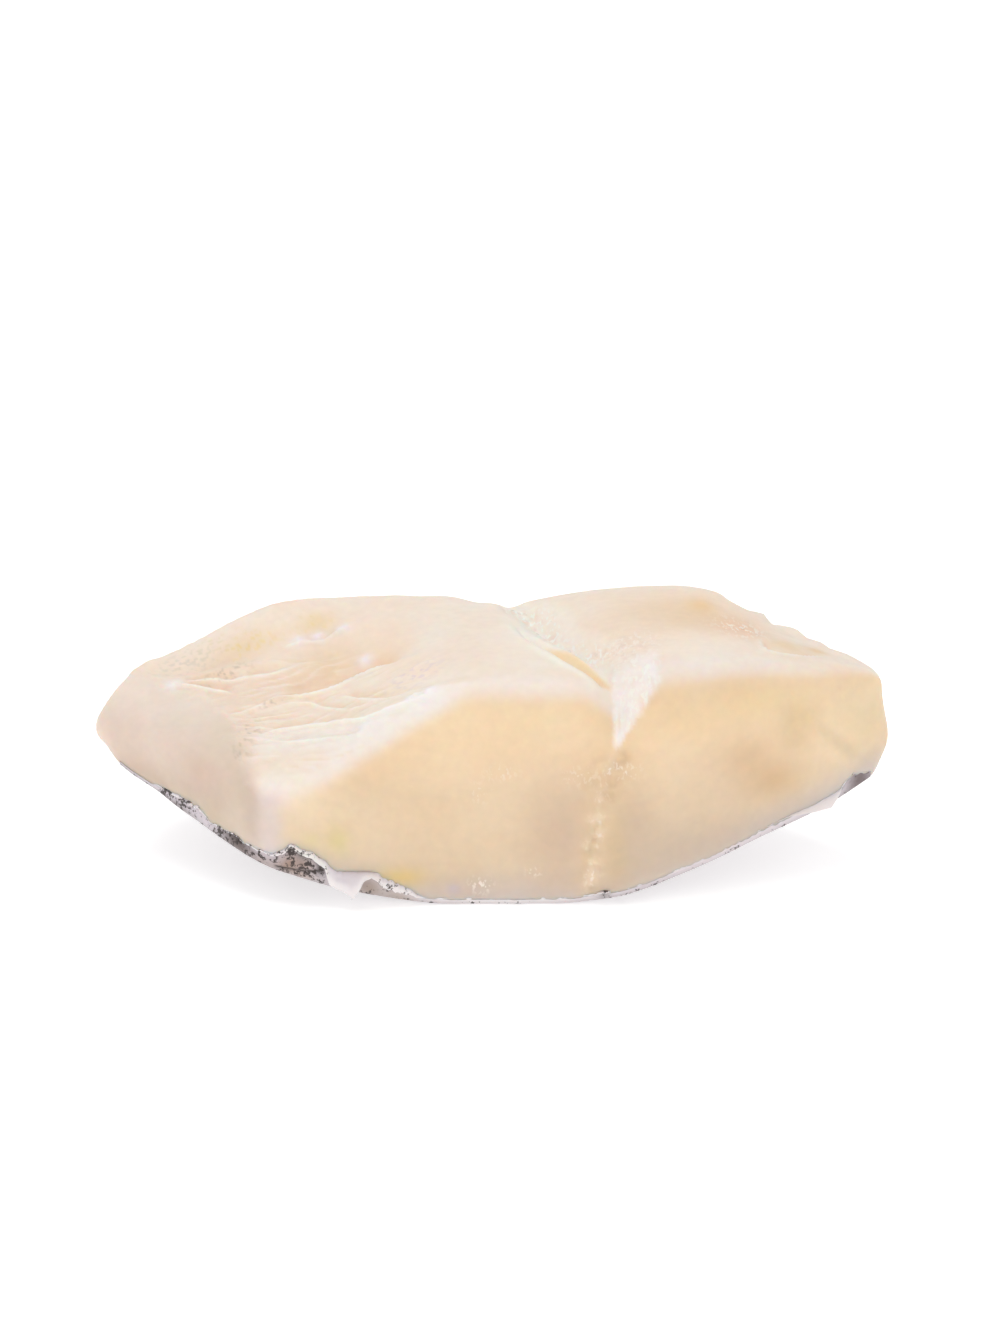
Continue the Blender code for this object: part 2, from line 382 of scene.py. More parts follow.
# Heights and depths of the relief
BROAD_WAVE, SMALL_WAVE = 0.30, 0.12
WIDE_HOLLOW = 3  # a hollow that runs back further than this has no terraces in it
LIP_WIDTH = 0.45
TERRACE_STEP, TERRACE_STREAK, TERRACE_GRAIN, SLOPE_GRAIN = 0.16, 0.05, 0.04, 0.05
NOSE_STEP = 0.22
CREVICE_DEPTH, CREVICE_LIP, SHELF_RISE, WET_WRINKLE = 1.0, 0.45, 1.3, 0.13
MEMBRANE_RISE, STRAND_RISE = 0.40, 0.16
SEAM_DEPTH, SEAM_GRAIN = 0.28, 0.16
CREASE_DEPTH, BELLY_HOLLOW, FOLD_RISE = 0.7, 0.5, 0.35
FIBRE_RISE, GRAIN_RISE, BACK_FIBRE_RISE, BLOCK_SEAM_DEPTH = 0.018, 0.012, 0.03, 0.25


def back_edge_at(x):
    """The belly side's back edge runs in towards the thin end."""
    return flesh_high[1] - 1.0 - 0.86 * np.maximum(x - 35, 0)


def skin_dip(x):
    """How far the soft underside hangs below the CAD near both tips."""
    return 0.4 * bump_at(x + 57, 4.5) + 1.4 * smooth((-58 - x) / 7) + 1.7 * smooth((x - 44) / 20)


def front_curl(x):
    """How far the front edge of the underside curls up off the table."""
    return 0.05 + 0.1 * between(x, -30, 14, 8)


def shaped(points, under):
    """The CAD's smooth form with rounder ends, a torn back edge and a squarer foot that rests on the skin."""
    x, y, z = points[..., 0].copy(), points[..., 1].copy(), points[..., 2].copy()
    right = smooth((x - 56) / 14)
    x -= right * (END_DRAWN_IN * bump_at(z - 31, 4.5) + END_ROUNDED * np.abs((y + 1) / 8) ** 3)
    x -= TIP_DRAWN_IN * smooth((-62 - x) / 7) * bump_at(z - 24.5, 4)
    height = z - under
    rest = FLESH_REST + front_curl(x) * smooth((-16 - y) / 5)
    stretched = FOOT_HIGH - (FOOT_HIGH - height) * (FOOT_HIGH - rest) / (FOOT_HIGH - FOOT_LOW)
    squared = np.where(height < FOOT_HIGH, np.maximum(stretched, rest), height)
    z += (squared - height) * smooth((69.5 - np.abs(x)) / 3)
    y -= FOOT_OUT * smooth((7 - height) / 6) * smooth((-12 - y) / 6) * between(x, -26, 22, 10)
    z -= skin_dip(x) * smooth((under + 10 + 5 * smooth((-58 - x) / 7) - z) / 8)
    high = smooth((z - 25) / 8)
    saddle = (SADDLE_RISE * bump_at(x - 3, 5) - SADDLE_DIP * bump_at(x + 3.5, 3)) * smooth((y - 12) / 8)
    z += high * saddle + TIP_RISE * bump_at(x + 65.5, 3.8) * smooth((z - 24) / 5)
    crown = bump_at(x + 25, 17) * smooth((y - 4) / 20) * high
    shoulder = bump_at(x - 37, 8) * smooth((y - 4) / 14) * high
    torn = smooth((y - back_edge_at(x) + 6) / 4.5) * smooth((z - 24) / 6)
    z += CROWN_RISE * crown + SHOULDER_RISE * shoulder + torn * np.interp(x, TORN_X, TORN_Z)
    return np.stack([x, y, z], axis=-1)


def front_edge_heights(grid, normals):
    """Height of the top's front edge at each ring: where the normals turn from up to forward."""
    heights = []
    for ring, directions in zip(grid, normals):
        turning = (directions[:, 1] < -0.3) & (np.abs(directions[:, 2] - 0.5) < 0.2) & (ring[:, 2] > 20)
        heights.append(ring[turning, 2].mean() if turning.any() else np.nan)
    heights = filled(heights)
    for _ in range(EDGE_PASSES):
        heights[1:-1] = (heights[:-2] + heights[1:-1] + heights[2:]) / 3
    return heights


def turned(towards):
    """1 where a normal points well towards a side, from the normal's part along it."""
    return smooth((towards - 0.2) / 0.4)


class Flesh:
    """Masks of the flesh, from 0 to 1, and noise at each of its points."""

    def __init__(self, points, normals, under, edge_height):
        x, y, z = points.T
        self.points, self.under = points, under
        self.x, self.y, self.z = x, y, z
        self.below = edge_height - z
        self.top = smooth((normals[:, 2] - 0.30) / 0.45)
        self.facing = smooth((-normals[:, 1] - 0.05) / 0.3)
        self.front = turned(-normals[:, 1]) * (1 - self.top)
        self.back = turned(normals[:, 1]) * (1 - self.top)
        self.end = turned(normals[:, 0]) * (1 - self.top)
        self.broad = noise_at(points, 14, octaves=2, seed=20)
        self.fine = noise_at(points, 2.2, octaves=3, seed=21)
        self.tiny = noise_at(points, 0.85, seed=24)
        self.grain = noise_at(points, 1.1, octaves=3, seed=2)
        self.strands = noise_at(points, 1.0, octaves=2, seed=14, stretch=(0.9, 4, 4))
        plan = points[:, :2]
        nose_side, _ = beside_curve(plan, curve_through(NOSE_EDGE))
        self.nose_side = nose_side + 0.8 * noise_at(points, 4, seed=4)
        self.nose = smooth(0.6 - self.nose_side / 6) * smooth((NOSE_X - x) / 4)
        self.groove_side, self.groove_share = beside_curve(plan, curve_through(CREVICE))
        flakes_end_x = -17 - 0.49 * y
        self.flaky = self.top * (1 - self.nose) * smooth((flakes_end_x - x) / 9) * smooth((9 - y) / 6)
        self.add_groove()
        self.add_fibres()
        self.add_terraces(self.add_flakes(plan))

    def add_flakes(self, plan):
        """Where each flake's edge and hollow are. Returns how far the wide hollows calm the surface."""
        self.flakes = []
        calm = np.zeros(len(plan))
        for flake in FLAKES:
            side, share = beside_curve(plan, curve_through(flake.edge))
            side = side + 0.22 * noise_at(self.points, 5, seed=11)
            ends = smooth(share / 0.18) * smooth((1 - share) / 0.2) * self.top
            behind = smooth(side / 0.5) * np.exp(-((np.maximum(side - 0.3, 0) / flake.reach) ** 1.5))
            calm = np.maximum(calm, ends * behind * (flake.reach > WIDE_HOLLOW))
            self.flakes.append((flake, side, ends, behind))
        return calm

    def add_terraces(self, calm):
        """Thin flake edges between the big ones: a slow rise, then a small drop."""
        x, y = self.x, self.y
        across = y + 0.26 * (x + 25) * smooth((-y - 2) / 12)
        flat = np.c_[x, across, 0 * x]
        bend = noise_at(flat, 1.0, seed=5, stretch=(14, 5, 1))
        finer = noise_at(flat, 1.0, seed=9, stretch=(6, 0.9, 1))
        phase = across / 2.3 + 1.2 * bend + 0.12 * finer
        saw = phase - np.floor(phase)
        self.saw = smooth(saw / 0.85) - smooth((saw - 0.85) / 0.15)
        patches = noise_at(flat, 1.0, seed=15, stretch=(9, 3.5, 1))
        self.saw_amount = self.flaky * (1 - calm) * smooth((patches + 0.35) / 0.7)
        self.streak = finer * (1 - 0.7 * calm)

    def add_groove(self):
        """Wet places in the groove and on torn flesh, the membrane in the notch, and the seam below it."""
        x, y, z = self.x, self.y, self.z
        beside = smooth((self.groove_side - 1.6) / 2) * smooth((10 - self.groove_side) / 3.5)
        beside *= smooth((y + 15) / 9) * smooth((x + 1) / 5)
        torn = sum(amount * patch_at(x, y, place) for place, amount in TORN_PLACES)
        self.wet = self.top * np.clip(beside + torn, 0, 1)
        ragged = x + 0.3 * self.grain
        right_side = np.interp(z, NOTCH_Z, NOTCH_X)
        inside = smooth((ragged - NOTCH_LEFT) / 0.9) * smooth((right_side - ragged) / 1.1 + 0.5)
        self.notch = inside * smooth((z - NOTCH_FOOT) / 3) * smooth((-12 - y) / 6)
        meander = 0.5 * noise_at(np.c_[z, z, z], 6)
        self.seam_side = x - np.interp(z, SEAM_Z, SEAM_X) - meander - 0.3 * self.fine
        self.seam = self.front * bump_at(self.seam_side, SEAM_WIDTH) * smooth((29 - z) / 3)

    def add_fibres(self):
        """Fibres in the cuts: faint arcs about a point above, with seams between blocks on the back."""
        x, points = self.x, self.points
        arc = np.hypot((x + 6) * 0.55, self.z - 46) + 0.9 * noise_at(points, 9, seed=12)
        self.wave = np.sin(arc * 2.1) + 0.6 * np.sin(arc * 4.3 + 2 * noise_at(points, 11, seed=13))
        some = smooth(noise_at(points, 12, seed=16) + 0.4)
        self.fibre = self.wave * self.front * smooth((x + 36) / 8) * some
        patches = smooth(noise_at(points, 10, seed=17) + 0.6)
        self.blocks = self.back * bump_at(np.sin(arc * 0.42), 0.32) * patches


def relief(f):
    """Distance to move each point of the flesh along its normal."""
    x, y, z, top, front, grain = f.x, f.y, f.z, f.top, f.front, f.grain
    points = f.points
    move = BROAD_WAVE * noise_at(points, 17, seed=3) + SMALL_WAVE * noise_at(points, 6, seed=7)
    for flake, side, ends, behind in f.flakes:
        move += ends * (flake.lip * bump_at(side, LIP_WIDTH) - flake.hollow * behind)
    move += TERRACE_STEP * f.saw_amount * (f.saw - 0.5)
    move += f.flaky * (TERRACE_STREAK * f.streak + TERRACE_GRAIN * grain)
    move += SLOPE_GRAIN * top * smooth((y - 3) / 4) * smooth((-22 - x) / 8) * grain
    for lump_x, lump_y, radius, height in LUMPS:
        lump = patch_at(x, y, (lump_x, lump_y, radius, radius * 0.8))
        move += height * lump * (1 + 0.5 * grain) * top
    # The smooth skin of the nose ends in a low broken step
    step = bump_at(f.nose_side, 0.9) * top * smooth((-40 - x) / 3)
    move += NOSE_STEP * step * (1 + 0.8 * f.fine)
    # Crevice: a rounded lip on its left, a shelf on its right
    ends = smooth(f.groove_share / 0.45) * smooth((1 - f.groove_share) / 0.1) * top
    side = f.groove_side + 0.2 * noise_at(points, 7, seed=6)
    move -= ends * CREVICE_DEPTH * bump_at(side - 0.3, 0.7)
    move += ends * CREVICE_LIP * bump_at(side + 1.5, 1.5)
    move += SHELF_RISE * top * bump_at(side - 2.6, 1.8) * bump_at(x - SHELF_X, 5)
    move += WET_WRINKLE * f.wet * noise_at(points, 1.0, octaves=2, seed=8, stretch=(1.8, 1.3, 2))
    # Membrane in the notch and seam down the front cut
    move += f.notch * (MEMBRANE_RISE + STRAND_RISE * f.strands)
    move -= f.seam * (SEAM_DEPTH - SEAM_GRAIN * grain) * smooth((z - f.under) / 4)
    # Belly side: an upright crease, a shallow hollow and small folds at the thin end
    crease_x = 51.5 + 0.12 * (36 - z)
    move -= CREASE_DEPTH * bump_at(x - crease_x, 2.1) * between(z, 28.5, 36, 4) * front
    move -= BELLY_HOLLOW * front * patch_at(x, z, (46, 21, 6, 6))
    for fold_x, fold_z, length in FOLDS:
        along = (x - fold_x) * 0.55 - (z - fold_z) * 0.83
        over = (x - fold_x) * 0.83 + (z - fold_z) * 0.55
        fold = bump_at(over, 1.3) - 0.8 * bump_at(over - 2.1, 1.1)
        move += FOLD_RISE * front * bump_at(along, length) * fold
    # Fibres in the cuts
    move += FIBRE_RISE * f.fibre + GRAIN_RISE * grain
    move += BACK_FIBRE_RISE * f.back * f.wave - BLOCK_SEAM_DEPTH * f.blocks
    return move * smooth((z - f.under - 0.3) / 2)


# Screen colours of the flesh and the skin. Several stand for light and shade: the pale edge, corner band,
# flake lip, streak and terrace edge tones are painted highlights; the lower cut tones darken towards the skin
# as painted shade over the flesh's own greyer tone there; the lower nose tones, the terrace foot tone and the
# near-black slit are painted shade; and the tan hollow tone is the flesh's own tan deepened as painted shade
TONES = dict(
    top=(248, 229, 213), cut=(242, 217, 184), cut_middle=(232, 210, 180), cut_low=(225, 205, 179),
    cut_at_skin=(211, 197, 188), ridge=(251, 235, 226), nose=(240, 226, 213), nose_middle=(231, 213, 200),
    nose_low=(199, 177, 158), nose_yellow=(226, 212, 188), nose_inner=(226, 208, 194),
    corner=(224, 209, 206), hollow=(240, 208, 174), lip=(255, 240, 231), terrace_edge=(255, 240, 230),
    terrace_foot=(238, 216, 184), streak=(255, 239, 228), lump=(252, 240, 242), ragged_band=(251, 237, 230),
    slope=(255, 236, 223), wet_strand=(236, 208, 190), crevice_lip=(255, 241, 230), strip=(246, 213, 168),
    membrane=(254, 240, 236), membrane_shade=(240, 217, 200), seam=(226, 198, 160),
    seam_pale=(240, 220, 196), seam_shade=(208, 178, 146), torn=(234, 194, 148), block_seam=(222, 194, 162),
    back_fibre=(250, 232, 208), back_shade=(222, 196, 170), silver=(218, 208, 214),
    silver_dark=(196, 186, 192), skin_edge=(246, 240, 240), skin_under=(180, 174, 176), slit=(48, 38, 35),
    speck=(58, 47, 44),
)
# How far down the front cut the pale top edge, with its painted highlight, comes, along x, and how softly it
# ends
PALE_X = (-40, -25, -10, -4, 16, 21, 24, 29, 36)
PALE_START = (-0.5, 0.6, 1.2, 2.3, 2.0, 0.8, 1.4, 2.5, 1.4)
PALE_FADE_X = (-40, -25, -10)
PALE_FADE = (6.0, 4.5, 3.5)
LOWEST_FLAKE = 6  # the one in FLAKES with the ragged band below it
# Soft patches of colour: a place, its tone and its amount. On the front cut and the nose a place is x, z and
# half sizes; on the top it is x, y and half widths.
FRONT_PATCHES = (
    ((2, 35, 20, 4), (246, 222, 186), 0.7), ((12, 13, 7, 11), (212, 188, 167), 0.7),
    ((21.4, 11, 2.2, 7), (219, 193, 146), 0.8), ((24.5, 14, 3.5, 8), (208, 182, 156), 0.6),
    ((44, 24, 5, 5), (216, 182, 142), 0.65), ((48.5, 19.5, 5, 3.5), (214, 178, 134), 0.65),
    ((53.5, 30.5, 4.5, 4), (222, 198, 154), 0.45), ((38, 22, 8, 8), (232, 208, 180), 0.5),
    ((46, 34.5, 6, 2.5), (244, 219, 174), 0.6), ((65, 29, 4, 6), (232, 214, 180), 0.7),
    ((34, 9, 15, 7), (206, 187, 169), 0.7), ((34, 33, 9, 4), (243, 218, 178), 0.5),
    ((22.8, 27.5, 1.6, 1), (232, 200, 160), 0.5), ((-27, 12.5, 2, 2.6), (222, 207, 152), 0.7),
    ((-31.5, 12.5, 1.6, 1.4), (226, 212, 160), 0.5), ((-16, 5.6, 4.2, 1.8), (227, 201, 140), 0.9),
    ((-7, 3.2, 1.2, 1), (206, 194, 204), 0.7), ((-33, 20, 6, 4), (244, 226, 198), 0.6),
)
NOSE_PATCHES = (
    ((-48, 25, 3.5, 3), (222, 210, 182), 0.3), ((-44.5, 19, 2.2, 4), (214, 200, 170), 0.25),
    # The last nose patch is painted shade: a darker upright strip beside the pale corner band
    ((-51.5, 20.5, 2.5, 2.5), (220, 196, 180), 0.5), ((-42.4, 17, 1.6, 8), (200, 180, 164), 0.4),
)
TOP_PATCHES = (
    ((31, 5, 13, 14), (236, 210, 180), 0.9), ((39, 3, 7, 6), (233, 204, 168), 0.7),
    ((37, 9.5, 2.6, 3.4), (236, 199, 142), 0.75), ((43.6, 0.8, 5, 5), (243, 200, 170), 0.75),
    ((-44, 12.8, 5.5, 2.8), (238, 213, 164), 0.5), ((-32, 15, 3.2, 2.4), (236, 212, 154), 0.5),
    ((51.5, -2.6, 3.2, 3.4), (236, 208, 166), 0.8), ((57, -1, 2.2, 2.2), (234, 196, 144), 0.8),
    ((-17, 6, 4, 6), (248, 223, 203), 0.6), ((-40, 1, 12, 6), (234, 208, 182), 0.5),
    ((-47, 10, 10, 5), (233, 209, 182), 0.5), ((-28.5, 3.5, 5, 5), (235, 209, 174), 0.6),
    ((-52, -6, 4, 5), (228, 219, 190), 0.35), ((3.5, 17, 2, 2.5), (214, 196, 186), 0.8),
)
# Speckled places on the top: x, y and half widths, then the tone, its amount and its share of the place
SPECKLES = (
    ((-44.5, 12.8, 5.5, 2.6), (238, 210, 138), 0.7, 0.25),
    ((-32, 15, 3, 2.4), (236, 214, 150), 0.7, 0.1),
    ((-51, 17, 5, 3), (238, 222, 178), 0.5, 0.3),
    ((-48, 6.7, 4.5, 1.8), (178, 162, 146), 0.5, 0.35),
    ((-39, -4.6, 2.4, 1.2), (190, 174, 160), 0.5, 0.3),
    ((-42.6, -10, 2, 3.2), (192, 180, 164), 0.45, 0.3),
    ((-44, -14.5, 1.8, 2.4), (190, 182, 152), 0.45, 0.3),
    ((-13.5, -12, 4.5, 3.5), (226, 208, 216), 0.6, 0.4),
    ((-55, 14.5, 6, 4), (212, 202, 190), 0.5, 0.4),
    ((24, -10, 4.5, 5), (232, 212, 200), 0.6, 0.3),
)


def with_patches(colour, patches, amount, u, v):
    """The colour with a table of soft patches over it, each times the amount."""
    for place, tone, share in patches:
        colour = mixed(colour, tone, share * amount * patch_at(u, v, place))
    return colour


def cut_colours(f, colour):
    """White at the top edge of the cuts, with a painted highlight, then yellow, then beige and pink grey near
    the skin: a darkening downwards that is painted shade over the flesh's own greyer tone near the skin.
    """
    x, y, z = f.x, f.y, f.z
    start = np.interp(x, PALE_X, PALE_START)
    lower = smooth((f.below + start) / np.interp(x, PALE_FADE_X, PALE_FADE))
    cut = np.clip(f.facing * lower + f.back + f.end * lower, 0, 1)
    colour = layered(
        colour,
        cut=cut,
        # Painted shade: the cut darkens towards the skin, over the flesh's own greyer tone near the skin
        cut_middle=cut * smooth((30 - z) / 12),
        cut_low=cut * smooth((19 - z) / 14),
        cut_at_skin=cut * smooth((8.5 - (z - f.under)) / 8),
    )
    colour = with_patches(colour, FRONT_PATCHES, f.facing * (1 - f.top), x, z)
    colour = with_patches(colour, TOP_PATCHES, f.top, x, y)
    # Painted highlight: a pale band on the rounded edge between the top and the front cut
    ridge = f.facing * bump_at(f.below + start + 0.4, 1.9) * smooth((x + 44) / 4) * smooth((-8 - y) / 5)
    return layered(colour, ridge=0.85 * ridge)


def nose_colours(f, colour):
    """Smooth grey-pink nose, darker low down as painted shade, and the pale upright band where it turns into
    the front cut, a painted highlight on that corner.
    """
    x, z = f.x, f.z
    grey = layered(
        all_over("nose", len(x)),
        # Painted shade: the nose darkens lower down
        nose_middle=smooth((29 - z) / 5),
        nose_low=smooth((25 - z) / 12),
        nose_yellow=0.35 * smooth(f.broad * 1.5),
        nose_inner=0.6 * smooth((x + 50) / 7),
    )
    nose = np.clip(f.nose + f.front * smooth((NOSE_X - x) / 6), 0, 1)
    colour = colour + (grey - colour) * nose[:, None]
    # Painted highlight: the pale upright band on the convex corner
    corner = bump_at(x - CORNER_X, 2.4) * f.front * smooth((z - 6) / 4)
    colour = layered(colour, corner=0.75 * corner)
    return with_patches(colour, NOSE_PATCHES, nose, x, z)


def flake_colours(f, colour):
    """White lips as painted highlights, tan hollows deepened as painted shade, terraces with painted
    highlights on their edges and painted shade at their feet, pale streaks as painted highlights, white
    lumps, and a white ragged band below the lowest flake.
    """
    for flake, side, ends, behind in f.flakes:
        # Painted highlight on each lip, and painted shade deepening the tan of each hollow
        white = ends * min(1, 1.8 * flake.lip) * bump_at(side, 0.55)
        colour = layered(colour, hollow=ends * flake.tan * behind, lip=white)
    colour = layered(
        colour,
        # Painted highlight on the terraces' edges and on raised streaks, painted shade at the terraces' feet
        terrace_edge=0.35 * f.saw_amount * smooth((f.saw - 0.65) / 0.35),
        terrace_foot=0.35 * f.saw_amount * smooth((0.30 - f.saw) / 0.3),
        streak=0.3 * f.flaky * smooth(f.streak),
    )
    for lump_x, lump_y, radius, _ in LUMPS:
        lump = patch_at(f.x, f.y, (lump_x, lump_y, radius, radius))
        colour = layered(colour, lump=0.85 * f.top * lump)
    below_lowest = between(f.flakes[LOWEST_FLAKE][1], -4.5, -0.4, 2.5) * between(f.x, -40, -9, 4)
    return layered(colour, ragged_band=0.6 * f.top * below_lowest)


def groove_colours(f, colour):
    """Pale slope, orange strip right of the crevice, membrane in the notch, and the seam below it."""
    x, z, side = f.x, f.z, f.groove_side
    slope = f.top * between(side, 0, 9, 3) * between(x, 0, 22, 4)
    ends = smooth((f.groove_share - 0.4) / 0.2) * smooth((1 - f.groove_share) / 0.05) * f.top
    width = 0.5 + 1.1 * bump_at(x - STRIP_X, 3.5)
    shade = bump_at(f.seam_side - 1.6, 1.3) + 0.6 * bump_at(f.seam_side + 2.4, 2.2)
    return layered(
        colour,
        slope=0.8 * slope,
        wet_strand=0.55 * f.wet * smooth(f.strands) * (x < 35),
        crevice_lip=0.8 * ends * bump_at(side + 2.2, 0.9),
        strip=0.85 * ends * bump_at(side - 0.3 - 0.8 * width, width),
        membrane=0.9 * f.notch,
        membrane_shade=0.6 * f.notch * smooth(f.strands - 0.1),
        seam=0.5 * f.front * bump_at(f.seam_side, 2.6) * smooth((26 - z) / 3),
        seam_pale=0.7 * f.seam * smooth(0.4 + f.fine),
        seam_shade=0.5 * f.front * shade * between(z, 20, 27, 3) * smooth(0.6 + f.fine),
    )


def flesh_colours(f):
    """Colour of the flesh at each vertex, from the pale top to the yellower cuts."""
    colour = all_over("top", len(f.x))
    for add in (cut_colours, nose_colours, flake_colours, groove_colours):
        colour = add(f, colour)
    for place, tone, amount, cover in SPECKLES:
        spot = smooth((f.tiny + cover - 0.6) / 0.25) * patch_at(f.x, f.y, place) * f.top
        colour = mixed(colour, tone, amount * spot)
    torn = smooth((f.y - back_edge_at(f.x) + 2.5) / 2.5) * smooth((f.x - 40) / 4)
    torn *= smooth((f.broad + 0.3) / 0.5)
    colour = layered(
        colour,
        torn=0.55 * torn * (1 - f.front),
        block_seam=0.5 * f.blocks,
        back_fibre=0.25 * f.back * smooth(f.strands * 1.2),
        back_shade=0.5 * f.back * smooth(f.broad * 1.6 - 0.1),
    )
    drift = 0.03 * f.broad[:, None] * np.array((0.5, 1.0, 1.7))
    return colour * (1 + drift) * (1 + 0.014 * f.fine[:, None] + 0.008 * f.fibre[:, None])


# ---------------- materials


class Nodes:
    """Short names for building one node tree."""

    def __init__(self, name):
        self.material = bpy.data.materials.new(name)
        self.material.use_nodes = True
        self.tree = self.material.node_tree
        self.shader = self.tree.nodes["Principled BSDF"]

    def fill(self, node, **inputs):
        for socket, value in inputs.items():
            self.put(node, socket.replace("_", " "), value)
        return node

    def new(self, kind, **inputs):
        return self.fill(self.tree.nodes.new(kind), **inputs)

    def put(self, node, socket, value):
        target = node.inputs[socket]
        if isinstance(value, bpy.types.NodeSocket):
            self.tree.links.new(value, target)
        else:
            target.default_value = value

    def set(self, **inputs):
        self.fill(self.shader, **inputs)

    def attribute(self, name, output="Fac"):
        node = self.tree.nodes.new("ShaderNodeAttribute")
        node.attribute_name = name
        return node.outputs[output]

    def position_mm(self, stretch=(1, 1, 1)):
        place = self.new("ShaderNodeTexCoord").outputs["Object"]
        scale = tuple(1 / MM / s for s in stretch)
        return self.new("ShaderNodeMapping", Vector=place, Scale=scale).outputs["Vector"]

    def noise(self, wavelength, detail=2.0, stretch=(1, 1, 1), roughness=0.5):
        form = {"Scale": 1 / wavelength, "Detail": detail, "Roughness": roughness}
        return self.new("ShaderNodeTexNoise", Vector=self.position_mm(stretch), **form).outputs["Fac"]

    def remap(self, value, low, high, to_low, to_high):
        ends = {"From_Min": low, "From_Max": high, "To_Min": to_low, "To_Max": to_high}
        return self.new("ShaderNodeMapRange", Value=value, **ends).outputs["Result"]

    def maths(self, operation, a, b):
        node = self.tree.nodes.new("ShaderNodeMath")
        node.operation = operation
        self.put(node, 0, a)
        self.put(node, 1, b)
        return node.outputs[0]

    def mix(self, factor, a, b, blend="MIX"):
        node = self.tree.nodes.new("ShaderNodeMix")
        node.data_type = "RGBA"
        node.blend_type = blend
        self.put(node, 0, factor)
        self.put(node, 6, a)
        self.put(node, 7, b)
        return node.outputs[2]

    def bump(self, height, distance_mm, normal=None):
        node = self.new("ShaderNodeBump", Height=height, Distance=distance_mm * MM)
        if normal is not None:
            self.put(node, "Normal", normal)
        return node.outputs["Normal"]


def flesh_material():
    n = Nodes("flesh_moist")
    mottle = n.remap(n.noise(1.6, 4), 0.3, 0.7, 0.98, 1.015)
    shade = n.new("ShaderNodeCombineColor", Red=mottle, Green=mottle, Blue=mottle).outputs[0]
    colour = n.mix(1.0, n.attribute("tint", "Color"), shade, "MULTIPLY")
    wet = n.attribute("wet")
    # Painted highlights: tiny white glints of light on the brine, painted into the colour on the wet places
    glints = n.maths("MULTIPLY", n.remap(n.noise(0.9, 2, stretch=(0.7, 1.6, 1)), 0.54, 0.62, 0.0, 0.9), wet)
    colour = n.mix(glints, colour, (1, 0.93, 0.85, 1))
    damp = n.remap(n.noise(3.5, 3), 0.35, 0.7, 0.48, 0.36)
    roughness = n.maths("SUBTRACT", damp, n.maths("MULTIPLY", wet, 0.12))
    rough = n.maths("ADD", 0.05, n.attribute("rough"))
    fibres = n.noise(0.55, 3, stretch=(3.0, 1.0, 1.0))
    normal = n.bump(n.maths("MULTIPLY", fibres, rough), 0.06)
    normal = n.bump(n.maths("MULTIPLY", n.noise(0.28, 3), rough), 0.10, normal)
    n.set(Base_Color=colour, Roughness=roughness, Normal=normal)
    n.set(Subsurface_Weight=1.0, Subsurface_Scale=1.8 * MM, Subsurface_Radius=(1.0, 0.6, 0.38))
    n.set(IOR=1.38, Specular_IOR_Level=0.35, Coat_Weight=0.08, Coat_Roughness=0.18, Coat_IOR=1.33)
    return n.material


def skin_material():
    n = Nodes("skin_silver")
    dark = n.attribute("dark")
    clouds = n.remap(n.noise(2.6, 2), 0.3, 0.7, -0.08, 0.08)
    level = n.maths("ADD", n.noise(0.75, 4, roughness=0.7), n.maths("MULTIPLY", dark, 0.18))
    level = n.maths("ADD", level, clouds)
    specks = n.maths("MULTIPLY", n.remap(level, 0.66, 0.72, 0.0, 0.95), n.remap(dark, 0.02, 0.2, 0.0, 1.0))
    colour = n.mix(specks, n.attribute("tint", "Color"), linear(TONES["speck"]) + (1,))
    roughness = n.remap(n.noise(1.5, 2), 0.3, 0.7, 0.28, 0.48)
    normal = n.bump(n.noise(0.5, 4), 0.12)
    n.set(Base_Color=colour, Roughness=roughness, Normal=normal)
    n.set(Subsurface_Weight=0.3, Subsurface_Scale=0.3 * MM, Subsurface_Radius=(1.0, 0.8, 0.7))
    n.set(IOR=1.42, Coat_Weight=0.2, Coat_Roughness=0.2, Coat_IOR=1.33)
    return n.material


# ---------------- pieces


def add_piece(name, mesh, material, node):
    mesh.materials.append(material)
    piece = placed(name, mesh)
    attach(piece, "root")
    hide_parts(node)
    return piece


def make_flesh():
    grid = wrapped_grid(smooth_copy("flesh"))
    grid[0] = grid[0].mean(axis=0)
    grid[-1] = grid[-1].mean(axis=0)
    near_end = smooth((np.abs(grid[..., :1]) - CAP_START) / 5)
    grid = soften(soften(grid, SOFTEN_ALL), SOFTEN_ENDS, near_end)
    places = np.linspace(flesh_low[0], flesh_high[0], UNDER_PLACES)
    heights = under_heights(places)
    grid = shaped(grid, np.interp(grid[..., 0], places, heights))
    normals = grid_normals(grid)
    edge_heights = np.repeat(front_edge_heights(grid, normals), grid.shape[1])
    shape = grid.shape
    points, normals = grid.reshape(-1, 3), normals.reshape(-1, 3)
    under = np.interp(points[:, 0], places, heights) - skin_dip(points[:, 0])
    flesh = Flesh(points, normals, under, edge_heights)
    moved = points + normals * relief(flesh)[:, None]
    mesh = closed_loft("cod_flesh", moved.reshape(shape))
    set_colour(mesh, "tint", per_vertex(flesh_colours(flesh).reshape(shape)))
    # Where glints are painted as white highlights: the wet places, the notch, the seam and the glint places;
    # the same attribute lowers the roughness
    sparkling = flesh.wet + 0.6 * flesh.notch + 0.5 * flesh.seam * smooth(0.3 + flesh.fine)
    for place, amount in GLINTS:
        sparkling += amount * flesh.front * patch_at(flesh.x, flesh.z, place)
    set_value(mesh, "wet", per_vertex(sparkling.reshape(shape[:2])))
    rough_edge = bump_at(flesh.nose_side - 1, 2.5) * flesh.top
    rough = 0.5 * flesh.flaky + 0.5 * rough_edge + 0.1 * flesh.wet + 0.4 * flesh.seam + 0.3 * flesh.notch
    set_value(mesh, "rough", per_vertex(rough.reshape(shape[:2])))
    return add_piece("cod_flesh", mesh, flesh_material(), "flesh")


